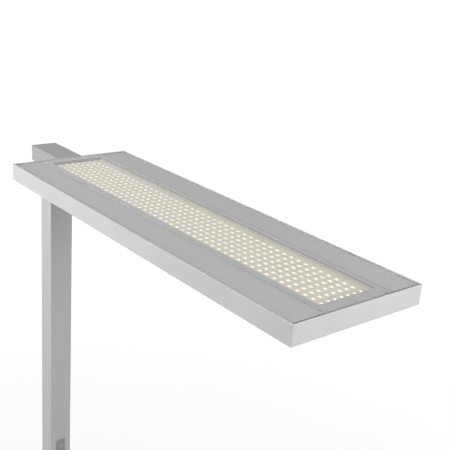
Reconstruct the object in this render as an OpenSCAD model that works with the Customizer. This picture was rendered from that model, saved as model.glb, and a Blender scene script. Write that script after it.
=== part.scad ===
// Office floor lamp: a long flat light head on a short arm, carried by a rectangular pole
// on a weighted base. Origin on the floor under the pole axis, +X towards the head's free
// end, +Z up. Millimetres.

/* [Overall] */
// Height of the head's top edge above the floor
lamp_h = 1950; // [1600:10:2200]

/* [Base] */
// Length of the base plate along the head
base_l = 540; // [420:10:700]
// Width of the base plate
base_w = 360; // [260:10:500]
// Thickness of the base plate
base_t = 10; // [6:1:16]
// Distance from the pole axis to the base plate's rear edge
base_back = 120; // [70:5:200]
// Corner radius of the base plate
base_r = 12; // [4:1:30]
// Chamfer round the base plate's top edge
base_chamfer = 1.2; // [0.5:0.1:3]
// Thickness of the rubber mat under the base plate
mat_t = 2; // [1:0.5:5]
// Distance from the mat's edge to the base plate's edge
mat_inset = 4; // [2:1:12]

/* [Pole] */
// Depth of the pole along the head
pole_d = 52; // [44:1:70]
// Width of the pole across the head
pole_w = 60; // [54:1:80]
// Wall thickness of the pole
pole_wall = 2.5; // [2:0.5:4]
// Outer corner radius of the pole
pole_r = 1; // [0.5:0.1:2]
// Height of the foot block inside the pole
foot_h = 40; // [30:1:80]
// Height of the plug inside the pole's top
plug_h = 70; // [50:1:120]
// Gap round the blocks inside the pole
block_gap = 0.1; // [0.05:0.05:0.3]
// Diameter of the cable passage down through the plug
plug_bore_d = 30; // [26:1:32]
// Height of the cable entry above the base plate
entry_z = 75; // [60:1:140]

/* [Arm] */
// Length of the arm cover, centred on the pole axis
arm_l = 144; // [124:1:200]
// Wall thickness of the arm cover
arm_wall = 2.3; // [1.5:0.1:3]
// Radius of the arm cover's long edges
arm_r = 0.8; // [0.4:0.1:2]
// Gap between the pole and the arm cover round it
arm_gap = 0.2; // [0.1:0.1:0.5]
// Height of the arm cover
arm_h = 38; // [34:0.5:46]
// How far the arm cover's top lies below the head's top edge
arm_drop = 1.6; // [0:0.1:4]
// How far the pole's top stays below the head's top edge
pole_drop = 5.5; // [5:0.5:8]
// Thickness of the arm's end cap
cap_t = 3; // [2:0.5:5]

/* [Head frame] */
// Length of the head
head_l = 950; // [700:10:1300]
// Width of the head
head_w = 300; // [270:5:400]
// Height of the head's frame
head_h = 38.5; // [36:0.5:50]
// Wall thickness of the frame profile
rim_t = 2.5; // [2:0.5:4]
// Radius of the frame's outer edges and corners
rim_r = 0.6; // [0.3:0.1:1.2]
// Width of the frame profile's ledges
ledge_w = 11.5; // [10:0.5:14]
// Thickness of the frame profile's ledges
ledge_t = 2; // [1.5:0.1:3]
// Width of the slot that holds the corner cleats
slot_w = 3.5; // [3:0.5:5]
// Thickness of the rib that closes the slot
rib_t = 1.5; // [1:0.5:2]
// Height of that rib
rib_h = 4; // [3:0.5:5]
// Length of each leg of a corner cleat
cleat_l = 45; // [30:1:70]
// Thickness of the beam inside the head's arm end
beam_t = 8; // [6:0.5:10]

/* [Covers] */
// Thickness of the top and bottom cover plates
plate_t = 1.5; // [1:0.1:2]
// How far the cover plates lie inside the frame's edges
plate_drop = 2.1; // [1:0.1:3]
// Gap between a cover plate's sides and the frame
plate_gap = 1; // [0.5:0.1:2]
// Air slot between a cover plate's ends and the frame
plate_slot = 4; // [1:0.5:5]
// Thickness of the clear sheet over the light window
sheet_t = 2; // [1:0.1:3]
// Width of the clear sheet
sheet_w = 157; // [140:1:180]
// Gap between the clear sheet's ends and the frame
sheet_gap = 2.5; // [1:0.5:5]

/* [Light window] */
// Width of the window in the top cover plate
window_w = 131; // [90:1:134]
// Least distance from the window to the head's ends
window_end = 27; // [26:1:80]
// Shift of the window's middle from the head's middle, towards the free end
window_shift = -2; // [-8:0.5:8]
// Length by which the window is longer than its LED columns need
window_spare = 2.2; // [0:0.1:5]
// Shift of the LEDs' middle from the window's middle, towards the free end
led_shift = -1.5; // [-3:0.1:3]
// Distance between LED columns along the head
led_pitch_x = 18.9; // [14:0.1:30]
// Distance between LED rows across the head
led_pitch_y = 15.4; // [12:0.1:24]
// Least distance from the outer LED rows to the window's edges
led_margin = 16; // [10:1:30]
// Side of one LED package
led_size = 3; // [2:0.5:5]
// Height of one LED package
led_t = 0.6; // [0.4:0.1:1]
// Depth of the LEDs' faces below the head's top edge
led_depth = 8.5; // [6:0.5:10]
// Thickness of the LED boards
board_t = 1.6; // [1:0.2:2]
// Sheet thickness of the light tray
tray_t = 1.2; // [0.8:0.2:1.6]

/* [Underside] */
// Width of the diffuser window in the bottom cover plate
diffuser_w = 172; // [140:2:190]
// Distance from the diffuser window to the head's ends
diffuser_end = 46; // [44:1:100]
// Thickness of the diffuser
diffuser_t = 2.5; // [2:0.5:4]
// Distance between LEDs on a strip
strip_pitch = 28; // [20:1:50]
// Length of one LED driver
driver_l = 360; // [200:10:420]

/* [Dimmer] */
// Height of the dimmer button above the floor
button_z = 1085; // [800:5:1200]
// Diameter of the dimmer button
button_d = 14; // [10:1:16]
// Travel of the dimmer button
button_travel = 1.2; // [0.6:0.1:1.5]

/* [Hidden] */
$fn = 48;

// Colours as the eye meets them
silver = "#b9babb";
plate_grey = "#aeb0b2";
inner_metal = "#c9cbcc";
steel = "#8d9092";
white_board = "#e6e1cf";
led_glow = "#fff4d6";
white_paint = "#f2f2ee";
black_rubber = "#2b2c2d";
mat_grey = "#3a3b3c";
clear_sheet = [0.9, 0.95, 0.95, 0.35];
opal = [0.95, 0.95, 0.93, 0.9];

eps = 0.01;             // overlap of joined solids and of cuts that end at a face
over = 1;               // how far a cut that goes through starts before it and ends after it
screw_gap = 0.05;       // radial gap round a screw in its thread
clear_gap = 0.15;       // radial gap round a screw in a plain hole
fit_gap = 0.2;          // gap between parts that slide together at assembly

// Screws: shank diameters and the proportions of their heads
m3_d = 3;
m4_d = 4;
m5_d = 5;
m6_d = 6;
csk_ratio = 1.9;        // countersunk head diameter over shank diameter
cap_head_ratio = 1.7;   // socket cap head diameter over shank diameter
hex_ratio = 0.75;       // hex socket width over shank diameter
csk_socket = 0.5;       // depth of a countersunk head's socket over shank diameter
cap_socket = 0.6;       // depth of a cap head's socket over shank diameter

// Heights of the foot, above the floor
base_z = mat_t;
mat_r = max(1, base_r - mat_inset);
pole_z = base_z + base_t;
pole_top = lamp_h - pole_drop;
foot_screw_x = 15;      // foot screws from the pole axis, along and across
foot_screw_y = 19;
foot_screw_reach = 20;  // how deep the foot screws go into the foot block
side_screw_y = 8;       // side screws that hold the pole on the foot block
side_screw_l = 14;
side_screw_z = pole_z + foot_h / 2;

// The arm and what is inside it
arm_w = pole_w + 2 * (arm_gap + arm_wall);
arm_top = lamp_h - arm_drop;
arm_z = arm_top - arm_h;
head_x = arm_l / 2;
arm_end_gap = 0.3;      // between the arm cover and the head
mid_z = lamp_h - head_h / 2;
bolt_y = 20;            // neck bolts from the middle plane
bolt_dz = 11;           // distance between upper and lower neck bolts
bolt_reach = 14;        // thread of a neck bolt in the neck block
neck_top = 7;           // top of the neck block below the head's top edge
neck_z = arm_z + arm_wall + fit_gap;
cap_lip = 8;            // how far the end cap's lip reaches into the cover
cap_lip_t = 1.5;
cap_r = 0.6;            // long edges of the end cap
cap_chamfer = 0.4;
cover_screw_y = 15;     // cover screws from the middle plane
cover_screw_l = 12;

// The cable from the pole's foot to the head
cable_d = 6;
cable_hole_d = 8;
cable_x = -11;
cable_bend = 12;
grommet_wall = 1.6;     // rubber on each side of the pole's wall
grommet_hole_d = 12;
grommet_flange_d = 17;
cord_bore_d = 7.5;      // bore for the mains cord
terminal_x = 16;        // size of a terminal block: along, across and up
terminal_y = 28;
terminal_z = 22;
terminal_ways = 3;
wire_hole_d = 3.5;      // where a wire goes into a terminal block
wire_hole_deep = 5;
clamp_hole_d = 2.5;     // above the screw that clamps it
clamp_hole_deep = 4;
terminal_rise = 25;     // pole terminal above the cord entry's axis
pole_terminal_z = pole_z + entry_z + terminal_rise;
lead_d = 4;

// The frame profile, measured inwards from its outer face and down from its top edge
profile_w = rim_t + ledge_w;
ledge_top = plate_drop + plate_t;
ledge_bottom = ledge_top + ledge_t;
rib_in = rim_t + slot_w;
inner_h = head_h - 2 * ledge_bottom;

// The set screws in the corner cleats
cleat_screw_at = 0.6;   // their place along a leg, over the leg's length
cleat_screw_proud = 0.6;
cleat_socket_d = 2;
cleat_socket_deep = 1;

// Screws of the cover plates
plate_screw_in = 10;    // from the frame's outer face
plate_screw_end = 22;   // from the head's ends
plate_screw_n = 4;      // along each side
plate_screw_l = 6;

// The window and the parts under it
window_x = head_l / 2 + window_shift;
window_most = head_l - 2 * (window_end + abs(window_shift));
led_cols = floor((window_most - window_spare) / led_pitch_x);
led_rows = floor((window_w - 2 * led_margin) / led_pitch_y) + 1;
window_l = led_cols * led_pitch_x + window_spare;
led_x = window_x + led_shift;
sheet_l = head_l - 2 * (rim_t + sheet_gap);
sheet_r = 2;
sheet_air = 0.1;        // between the clear sheet and the plate's coat
sheet_z = -plate_drop + sheet_air;
sheet_screw_end = 12;   // from the head's ends
sheet_screw_in = 8.5;   // from the sheet's long edges
sheet_screw_y = sheet_w / 2 - sheet_screw_in;
sheet_screw_l = sheet_air + sheet_t + plate_t + ledge_t;
sheet_screw_n = 3;      // at each end
board_top = led_depth + led_t;
tray_floor = board_top + board_t;
tray_edge = 0.8;        // the tray's walls stand back behind the window's edges
tray_lip = 10;
board_edge = 0.6;       // board inside the tray's walls

// The direct light
diffuser_l = head_l - 2 * diffuser_end;
diffuser_lap = 6;       // the diffuser lies on the bottom plate round its window
reflector_t = 0.8;
reflector_top = tray_floor + tray_t;
reflector_low = head_h - plate_drop - plate_t - diffuser_t;
reflector_flat = window_w / 2;
reflector_lip = 4;
strip_n = 3;            // one node for each strip
strip_w = 16;
strip_spacing = 44;
strip_t = 1.2;
strip_end = 12;         // strip end from the reflector's end wall
bottom_inside = head_h - plate_drop - plate_t;

// Drivers in the side bays
driver_w = 30;
driver_h = 21;
driver_x = 130;         // from the head's arm end
bay_in = diffuser_w / 2 + diffuser_lap + reflector_lip;
bay_out = head_w / 2 - profile_w;
driver_y = (bay_in + bay_out) / 2;
driver_ear = 9;         // length of a mounting ear
driver_ear_t = 2;
driver_ear_in = 4;      // an ear's edge from the case's side
driver_chamfer = 3;
driver_slot = 4;        // side of a wire slot in a driver's end
driver_slot_pitch = 7;
driver_slot_down = 5;   // the slots' middle from the case's top

// The beam inside the arm end
beam_in = rib_in + rib_t + fit_gap;   // the beam's outer face
beam_face = beam_in + beam_t;
beam_nose_gap = 2;      // between the beam's nose and the cleats' ends
beam_nose_w = head_w - 2 * (rim_t + cleat_l + beam_nose_gap);
beam_nose_h = inner_h - 2 * rib_h - 2 * fit_gap;

// The wiring in the head's arm end
bay_run_bend = 8;
bay_run_start = 1.3;    // where the cable's bend starts, past the beam
bay_run_x = beam_face + bay_run_start + bay_run_bend;
terminal_stand = 3.3;   // between the beam and the terminal block
head_terminal_x = beam_face + terminal_stand;
head_terminal_y = driver_y;
lead_inset = 3;         // the rear lead's axis from the terminal block's far face
lead_back_x = head_terminal_x + terminal_x - lead_inset;
lead_rise = 7.5;        // the rear lead's axis above the bottom plate
lead_back_z = bottom_inside - lead_rise;
lead_front_z = bottom_inside - driver_h / 2;

// The dimmer insert on the pole's head side
bezel_w = 26;
bezel_h = 70;
bezel_t = 1.5;
bezel_r = 1.5;
bezel_chamfer = 0.4;
insert_w = 20;
insert_h = 62;
insert_wall = 1.5;
insert_depth = 14;
button_gap = 0.3;       // all round the button, over its whole travel
button_proud = 1.2;
button_chamfer = 0.3;
button_flange = 1.2;    // radial width of the flange behind the bezel
button_flange_t = 1.2;
button_up = 14;         // button centre above the insert's centre
dish = 0.5;             // depth of the hollow in the button's face
dish_edge = 1;          // rim left round that hollow
stem_d = 3;
stem_in = 1.2;          // how far the button's stem reaches into the switch at rest
switch_w = 12;
switch_t = 4;
board_w = insert_w - 2 * insert_wall - 2 * fit_gap;
board_h = insert_h - 2 * insert_wall - 2 * fit_gap;
pole_face = pole_d / 2;
bezel_face = pole_face + bezel_t;
board_back = 1;         // behind the control board, to the insert's rear edge
board_face = pole_face - insert_depth + board_t + board_back;

// ---------------------------------------------------------------- shared shapes

// A rectangle with round corners, centred
module round_rect(l, w, r) {
    square([l - 2 * r, w], center = true);
    square([l, w - 2 * r], center = true);
    for (sx = [-1, 1], sy = [-1, 1])
        translate([sx * (l / 2 - r), sy * (w / 2 - r)])
            circle(r);
}

// A block with upright round edges, its base at z = 0
module round_block(l, w, h, r) {
    linear_extrude(h)
        round_rect(l, w, r);
}

// Such a block with a chamfer round its top edge: sloped slabs each way, cones at the corners
module chamfered_block(l, w, h, r, chamfer) {
    c = chamfer + eps;
    module slope(span, across, along) {
        rotate([90, 0, along])
            linear_extrude(span, center = true)
                polygon([[-across / 2, 0], [across / 2, 0], [across / 2 - c, c], [-across / 2 + c, c]]);
    }
    round_block(l, w, h - chamfer, r);
    translate([0, 0, h - c]) {
        slope(l - 2 * r, w, 90);
        slope(w - 2 * r, l, 0);
        for (sx = [-1, 1], sy = [-1, 1])
            translate([sx * (l / 2 - r), sy * (w / 2 - r), 0])
                cylinder(h = c, r1 = r, r2 = r - c);
    }
}

// A box centred along and across, its base at z = 0
module plain_block(l, w, h) {
    translate([-l / 2, -w / 2, 0])
        cube([l, w, h]);
}

// A countersunk screw pointing down, its head flush with z = 0
module csk_screw(d, l) {
    head_d = d * csk_ratio;
    cone_h = (head_d - d) / 2;
    difference() {
        union() {
            translate([0, 0, -cone_h])
                cylinder(h = cone_h, d1 = d, d2 = head_d);
            translate([0, 0, -l])
                cylinder(h = l - cone_h + eps, d = d);
        }
        translate([0, 0, -csk_socket * d])
            cylinder(h = d, d = hex_ratio * d, $fn = 6);
    }
}

// The hole for such a screw through a plate of thickness t, from z = 0 down
module csk_hole(d, t) {
    head_d = d * csk_ratio + 2 * clear_gap;
    cone_h = (head_d - d) / 2 - clear_gap;
    translate([0, 0, -cone_h])
        cylinder(h = cone_h, d1 = d + 2 * clear_gap, d2 = head_d);
    translate([0, 0, -t - over])
        cylinder(h = t + over, d = d + 2 * clear_gap);
    translate([0, 0, -eps])
        cylinder(h = 1, d = head_d);
}

// A socket cap screw pointing down, its head standing on z = 0
module cap_screw(d, l) {
    difference() {
        union() {
            cylinder(h = d, d = d * cap_head_ratio);
            translate([0, 0, -l])
                cylinder(h = l + eps, d = d);
        }
        translate([0, 0, (1 - cap_socket) * d])
            cylinder(h = d, d = hex_ratio * d, $fn = 6);
    }
}

// A cable run of length l along +Z
module run(d, l) {
    cylinder(h = l, d = d);
}

// A quarter bend that takes +Z into +X, starting at the origin
module bend(d, r) {
    translate([r, 0, 0])
        rotate([90, 0, 0])
            rotate([0, 0, 90])
                rotate_extrude(angle = 90)
                    translate([r, 0])
                        circle(d = d);
}

// The head's own space: x from the arm end, y from the middle, z down from the top edge
module at_head() {
    translate([head_x, 0, lamp_h])
        children();
}

// ---------------------------------------------------------------- base and pole

module at_base() {
    translate([base_l / 2 - base_back, 0, 0])
        children();
}

module at_foot_screws() {
    for (sx = [-1, 1], sy = [-1, 1])
        translate([sx * foot_screw_x, sy * foot_screw_y, base_z])
            rotate([180, 0, 0])
                children();
}

module base_mat() {
    color(mat_grey)
        at_base()
            round_block(base_l - 2 * mat_inset, base_w - 2 * mat_inset, mat_t, mat_r);
}

module base_plate() {
    color(silver)
        difference() {
            at_base()
                translate([0, 0, base_z])
                    chamfered_block(base_l, base_w, base_t, base_r, base_chamfer);
            at_foot_screws()
                csk_hole(m6_d, base_t);
        }
}

module foot_screws() {
    color(steel)
        at_foot_screws()
            csk_screw(m6_d, base_t + foot_screw_reach);
}

// A block that fits inside the pole
module inner_block(h) {
    around = 2 * (pole_wall + block_gap);
    plain_block(pole_d - around, pole_w - around, h);
}

module pole_foot() {
    color(inner_metal)
        difference() {
            translate([0, 0, pole_z])
                inner_block(foot_h);
            at_foot_screws()
                translate([0, 0, -base_t - foot_screw_reach - over])
                    cylinder(h = foot_screw_reach + over + eps, d = m6_d + 2 * screw_gap);
            at_side_screws()
                translate([0, 0, -side_screw_l - over])
                    cylinder(h = side_screw_l + over, d = m5_d + 2 * screw_gap);
        }
}

module at_side_screws() {
    for (s = [-1, 1])
        translate([-pole_d / 2, s * side_screw_y, side_screw_z])
            rotate([0, -90, 0])
                children();
}

module pole_foot_screws() {
    color(steel)
        at_side_screws()
            csk_screw(m5_d, side_screw_l);
}

module pole_tube() {
    color(silver)
        difference() {
            translate([0, 0, pole_z])
                round_block(pole_d, pole_w, pole_top - pole_z, pole_r);
            translate([0, 0, pole_z - over])
                plain_block(pole_d - 2 * pole_wall, pole_w - 2 * pole_wall, pole_top - pole_z + 2 * over);
            at_side_screws()
                csk_hole(m5_d, pole_wall);
            at_entry()
                cylinder(h = 4 * pole_wall, d = grommet_hole_d, center = true);
            at_pole_bolts()
                translate([0, 0, -pole_d - over])
                    cylinder(h = pole_d + 2 * over, d = m5_d + 2 * clear_gap);
            cable_way(0, pole_d);
            translate([pole_face - pole_wall / 2, 0, button_z])
                cube([2 * pole_wall, insert_w + 2 * fit_gap, insert_h + 2 * fit_gap], center = true);
        }
}

// The cable entry at the pole's rear, its axis pointing out
module at_entry() {
    translate([-pole_d / 2, 0, pole_z + entry_z])
        rotate([0, -90, 0])
            children();
}

module cable_grommet() {
    inner = -pole_wall - grommet_wall;
    color(black_rubber)
        at_entry()
            rotate_extrude()
                difference() {
                    translate([cord_bore_d / 2, inner])
                        square([(grommet_flange_d - cord_bore_d) / 2, grommet_wall * 2 + pole_wall]);
                    translate([grommet_hole_d / 2 - fit_gap / 2, -pole_wall - fit_gap / 2])
                        square([grommet_flange_d, pole_wall + fit_gap]);
                }
}

// A terminal block with a row of wire holes and a row of clamp screw holes on top
module terminal_block(l, w, h) {
    pitch = w / terminal_ways;
    difference() {
        plain_block(l, w, h);
        for (i = [0 : terminal_ways - 1])
            translate([0, (i - (terminal_ways - 1) / 2) * pitch, 0]) {
                translate([l / 4, 0, h - wire_hole_deep])
                    cylinder(h = wire_hole_deep + over, d = wire_hole_d);
                translate([-l / 4, 0, h - clamp_hole_deep])
                    cylinder(h = clamp_hole_deep + over, d = clamp_hole_d);
            }
    }
}

module pole_terminal() {
    color(white_paint)
        translate([-pole_d / 2 + pole_wall + terminal_x / 2, 0, pole_terminal_z])
            terminal_block(terminal_x, terminal_y, terminal_z);
}

// The straight way for the cable from x = a to x = b, at the head's mid height
module cable_way(a, b) {
    translate([a, 0, mid_z])
        rotate([0, 90, 0])
            cylinder(h = b - a, d = cable_hole_d);
}

module pole_cable() {
    rise_z = pole_terminal_z + terminal_z;
    bend_z = mid_z - cable_bend;
    level_x = cable_x + cable_bend;
    turn_x = head_x + bay_run_x - bay_run_bend;
    bay_y = -head_terminal_y + terminal_y / 2;
    color(black_rubber) {
        translate([cable_x, 0, rise_z])
            run(cable_d, bend_z - rise_z);
        translate([cable_x, 0, bend_z])
            bend(cable_d, cable_bend);
        translate([level_x, 0, mid_z])
            rotate([0, 90, 0])
                run(cable_d, turn_x - level_x);
        translate([turn_x, 0, mid_z])
            rotate([-90, 0, -90])
                bend(cable_d, bay_run_bend);
        translate([head_x + bay_run_x, -bay_run_bend, mid_z])
            rotate([90, 0, 0])
                run(cable_d, -bay_run_bend - bay_y);
    }
}

// ---------------------------------------------------------------- dimmer insert

module at_button() {
    translate([0, 0, button_z + button_up])
        rotate([0, 90, 0])
            children();
}

module control_bezel() {
    hole_d = button_d + 2 * button_gap;
    color(silver)
        difference() {
            union() {
                translate([pole_face, 0, button_z])
                    rotate([0, 90, 0])
                        chamfered_block(bezel_h, bezel_w, bezel_t, bezel_r, bezel_chamfer);
                translate([pole_face - insert_depth, -insert_w / 2, button_z - insert_h / 2])
                    cube([insert_depth + eps, insert_w, insert_h]);
            }
            translate([pole_face - insert_depth - over, 0, button_z])
                translate([0, -insert_w / 2 + insert_wall, -insert_h / 2 + insert_wall])
                    cube([insert_depth + over, insert_w - 2 * insert_wall, insert_h - 2 * insert_wall]);
            at_button()
                cylinder(h = bezel_face + over, d = hole_d);
        }
}

module dimmer_button() {
    flange_face = pole_face - button_gap;
    flange_back = flange_face - button_flange_t;
    stem_end = board_face + switch_t - stem_in;
    button_face = bezel_face + button_proud;
    chamfer_z = button_face - button_chamfer;
    dish_w = button_d - 2 * dish_edge;
    dish_r = (pow(dish_w / 2, 2) + pow(dish, 2)) / (2 * dish);
    color(silver)
        at_button() {
            difference() {
                union() {
                    translate([0, 0, flange_back])
                        cylinder(h = chamfer_z - flange_back, d = button_d);
                    translate([0, 0, chamfer_z - eps])
                        cylinder(h = button_chamfer + eps, d1 = button_d, d2 = button_d - 2 * button_chamfer);
                }
                translate([0, 0, button_face + dish_r - dish])
                    sphere(dish_r, $fn = 96);
            }
            translate([0, 0, flange_back])
                cylinder(h = button_flange_t, d = button_d + 2 * button_flange);
            translate([0, 0, stem_end])
                cylinder(h = flange_back - stem_end + eps, d = stem_d);
        }
}

module button_switch() {
    well = button_travel + stem_in + button_gap;
    color(black_rubber)
        difference() {
            translate([board_face, -switch_w / 2, button_z + button_up - switch_w / 2])
                cube([switch_t, switch_w, switch_w]);
            at_button()
                translate([0, 0, board_face + switch_t - well])
                    cylinder(h = well + over, d = stem_d + 2 * button_gap);
        }
}

module control_board() {
    color("#3d6b4f")
        translate([board_face - board_t, -board_w / 2, button_z - board_h / 2])
            cube([board_t, board_w, board_h]);
}

// ---------------------------------------------------------------- arm and neck

// Four bolt places on the pole's rear face, the bolts pointing towards the head
module at_pole_bolts() {
    for (sy = [-1, 1], sz = [-1, 1])
        translate([-pole_d / 2, sy * bolt_y, mid_z + sz * bolt_dz / 2])
            rotate([0, -90, 0])
                children();
}

// Four bolt places on the beam's inner face, the bolts pointing towards the pole
module at_head_bolts() {
    for (sy = [-1, 1], sz = [-1, 1])
        translate([head_x + beam_face, sy * bolt_y, mid_z + sz * bolt_dz / 2])
            rotate([0, 90, 0])
                children();
}

module pole_top_plug() {
    color(inner_metal)
        difference() {
            translate([0, 0, pole_top - plug_h])
                inner_block(plug_h);
            translate([0, 0, pole_top - plug_h - over])
                cylinder(h = plug_h + 2 * over, d = plug_bore_d);
            at_pole_bolts()
                translate([0, 0, -pole_d - over])
                    cylinder(h = pole_d + 2 * over, d = m5_d + 2 * clear_gap);
            cable_way(0, pole_d);
        }
}

module pole_bolts() {
    color(steel)
        at_pole_bolts()
            cap_screw(m5_d, pole_d + bolt_reach);
}

module neck_block() {
    color(inner_metal)
        difference() {
            translate([pole_face, -pole_w / 2 + fit_gap, neck_z])
                cube([head_x - pole_face, pole_w - 2 * fit_gap, lamp_h - neck_top - neck_z]);
            cable_way(pole_face - over, head_x + over);
            at_pole_bolts()
                translate([0, 0, -pole_d - bolt_reach - over])
                    cylinder(h = bolt_reach + 2 * over, d = m5_d + 2 * screw_gap);
            at_head_bolts()
                translate([0, 0, -beam_face - bolt_reach - over])
                    cylinder(h = bolt_reach + 2 * over, d = m5_d + 2 * screw_gap);
            at_cover_screws()
                translate([0, 0, -cover_screw_l - over])
                    cylinder(h = cover_screw_l + over, d = m4_d + 2 * screw_gap);
        }
}

module head_bolts() {
    color(steel)
        at_head_bolts()
            cap_screw(m5_d, beam_face + bolt_reach);
}

module at_cover_screws() {
    for (s = [-1, 1])
        translate([(pole_face + head_x) / 2, s * cover_screw_y, arm_z])
            rotate([180, 0, 0])
                children();
}

module arm_cover() {
    color(silver)
        difference() {
            translate([-arm_l / 2, 0, arm_z + arm_h / 2])
                rotate([90, 0, 90])
                    round_block(arm_w, arm_h, arm_l - arm_end_gap, arm_r);
            translate([-arm_l / 2 - over, -arm_w / 2 + arm_wall, arm_z + arm_wall])
                cube([arm_l + 2 * over, arm_w - 2 * arm_wall, arm_h - 2 * arm_wall]);
            translate([0, 0, arm_z - over])
                plain_block(pole_d + 2 * arm_gap, pole_w + 2 * arm_gap, arm_wall + 2 * over);
            at_cover_screws()
                csk_hole(m4_d, arm_wall);
        }
}

module arm_cover_screws() {
    color(steel)
        at_cover_screws()
            csk_screw(m4_d, cover_screw_l);
}

module arm_end_cap() {
    w = arm_w - 2 * (arm_wall + block_gap);
    h = arm_h - 2 * (arm_wall + block_gap);
    color(silver)
        translate([-arm_l / 2, 0, arm_z + arm_h / 2])
            difference() {
                translate([cap_t + cap_lip, 0, 0])
                    rotate([0, -90, 0])
                        chamfered_block(h, w, cap_t + cap_lip, cap_r, cap_chamfer);
                translate([cap_t, -w / 2 + cap_lip_t, -h / 2 + cap_lip_t])
                    cube([cap_lip + over, w - 2 * cap_lip_t, h - 2 * cap_lip_t]);
            }
}

// ---------------------------------------------------------------- head frame

// Cross-section of the frame profile: x inwards from the outer face, y down from the top
module rim_section() {
    translate([rim_t / 2, -head_h / 2])
        round_rect(rim_t, head_h, rim_r);
    for (m = [0, 1])
        translate([0, -head_h / 2])
            mirror([0, m])
                translate([0, head_h / 2]) {
                    translate([rim_t / 2, -ledge_bottom])
                        square([profile_w - rim_t / 2, ledge_t]);
                    translate([rib_in, -ledge_bottom - rib_h])
                        square([rib_t, rib_h + eps]);
                }
}

// A mitred length of the profile along +X, its outer face on y = 0 and its corners round
module rim(l) {
    intersection() {
        translate([l / 2, profile_w, -head_h - over])
            round_block(l, 2 * profile_w, head_h + 2 * over, rim_r);
        rotate([90, 0, 90])
            linear_extrude(l)
                rim_section();
        translate([0, 0, -head_h - over])
            linear_extrude(head_h + 2 * over)
                polygon([[0, 0], [l, 0], [l - profile_w, profile_w], [profile_w, profile_w]]);
    }
}

// The places of the cover plates' screws, the screws pointing down
module at_plate_screws() {
    step = (head_l - 2 * plate_screw_end) / (plate_screw_n - 1);
    for (i = [0 : plate_screw_n - 1], s = [-1, 1])
        translate([plate_screw_end + i * step, s * (head_w / 2 - plate_screw_in), -plate_drop])
            children();
}

// The places of the clear sheet's screws
module at_sheet_screws() {
    step = 2 * sheet_screw_y / (sheet_screw_n - 1);
    for (x = [sheet_screw_end, head_l - sheet_screw_end], i = [0 : sheet_screw_n - 1])
        translate([x, -sheet_screw_y + i * step, sheet_z + sheet_t])
            children();
}

// What stands above the head's mid height, turned over to lie below it
module turned_over() {
    translate([0, 0, -head_h])
        mirror([0, 0, 1])
            children();
}

module screw_pilots(l) {
    translate([0, 0, -l - over])
        cylinder(h = l + over, d = m3_d + 2 * screw_gap);
}

module side_rim_holes() {
    at_plate_screws()
        screw_pilots(plate_screw_l);
    turned_over()
        at_plate_screws()
            screw_pilots(plate_screw_l);
}

module rim_front() {
    color(silver)
        at_head()
            difference() {
                translate([0, -head_w / 2, 0])
                    rim(head_l);
                side_rim_holes();
            }
}

module rim_back() {
    color(silver)
        at_head()
            difference() {
                translate([head_l, head_w / 2, 0])
                    rotate(180)
                        rim(head_l);
                side_rim_holes();
            }
}

module rim_left() {
    color(silver)
        difference() {
            at_head()
                difference() {
                    translate([0, head_w / 2, 0])
                        rotate(-90)
                            rim(head_w);
                    at_sheet_screws()
                        screw_pilots(sheet_screw_l);
                }
            at_head_bolts()
                translate([0, 0, -beam_face - over])
                    cylinder(h = beam_face, d = m5_d + 2 * clear_gap);
            cable_way(head_x - over, head_x + beam_face);
        }
}

module rim_right() {
    color(silver)
        at_head()
            difference() {
                translate([head_l, -head_w / 2, 0])
                    rotate(90)
                        rim(head_w);
                at_sheet_screws()
                    screw_pilots(sheet_screw_l);
            }
}

// The four corners of the head, x and y pointing inwards along the frame
module at_corner(i) {
    x = i == 2 || i == 3 ? head_l : 0;
    y = i == 3 || i == 4 ? head_w / 2 : -head_w / 2;
    at_head()
        translate([x, y, 0])
            mirror([x > 0 ? 1 : 0, 0, 0])
                mirror([0, y > 0 ? 1 : 0, 0])
                    children();
}

// The set screws of one cleat, one in each leg, pointing out through the leg
module at_cleat_screws() {
    reach = rim_t + cleat_screw_at * cleat_l;
    translate([reach, rim_t, -head_h / 2])
        rotate([-90, 0, 0])
            children();
    translate([rim_t, reach, -head_h / 2])
        rotate([0, 90, 0])
            children();
}

module corner_cleat(i) {
    t = slot_w - fit_gap;
    p = rim_t + fit_gap / 2;
    color(inner_metal)
        at_corner(i)
            difference() {
                translate([p, p, -ledge_bottom - inner_h + fit_gap])
                    linear_extrude(inner_h - 2 * fit_gap)
                        polygon([[0, 0], [cleat_l, 0], [cleat_l, t], [t, t], [t, cleat_l], [0, cleat_l]]);
                at_cleat_screws()
                    cylinder(h = 3 * slot_w, d = m4_d + 2 * screw_gap);
            }
}

module cleat_screws() {
    color(steel)
        for (i = [1 : 4])
            at_corner(i)
                at_cleat_screws()
                    difference() {
                        cylinder(h = slot_w + cleat_screw_proud, d = m4_d);
                        translate([0, 0, slot_w + cleat_screw_proud - cleat_socket_deep])
                            cylinder(h = cleat_socket_deep + over, d = cleat_socket_d, $fn = 6);
                    }
}

// The beam that spreads the neck's load into the frame
module end_beam() {
    body_w = head_w - 2 * (rib_in + rib_t + fit_gap);
    body_h = inner_h - 2 * fit_gap;
    color(inner_metal)
        difference() {
            translate([head_x, 0, mid_z]) {
                translate([beam_in, -body_w / 2, -body_h / 2])
                    cube([beam_t, body_w, body_h]);
                translate([rim_t, -beam_nose_w / 2, -beam_nose_h / 2])
                    cube([beam_in - rim_t + eps, beam_nose_w, beam_nose_h]);
            }
            at_head_bolts()
                translate([0, 0, -beam_face - over])
                    cylinder(h = beam_face + 2 * over, d = m5_d + 2 * clear_gap);
            cable_way(head_x, head_x + beam_face + over);
        }
}

// ---------------------------------------------------------------- covers

// A cover plate in its place at the top, before its window is cut
module cover_blank() {
    side = rim_t + plate_gap;
    end = rim_t + plate_slot;
    translate([end, -head_w / 2 + side, -plate_drop - plate_t])
        cube([head_l - 2 * end, head_w - 2 * side, plate_t]);
}

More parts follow.
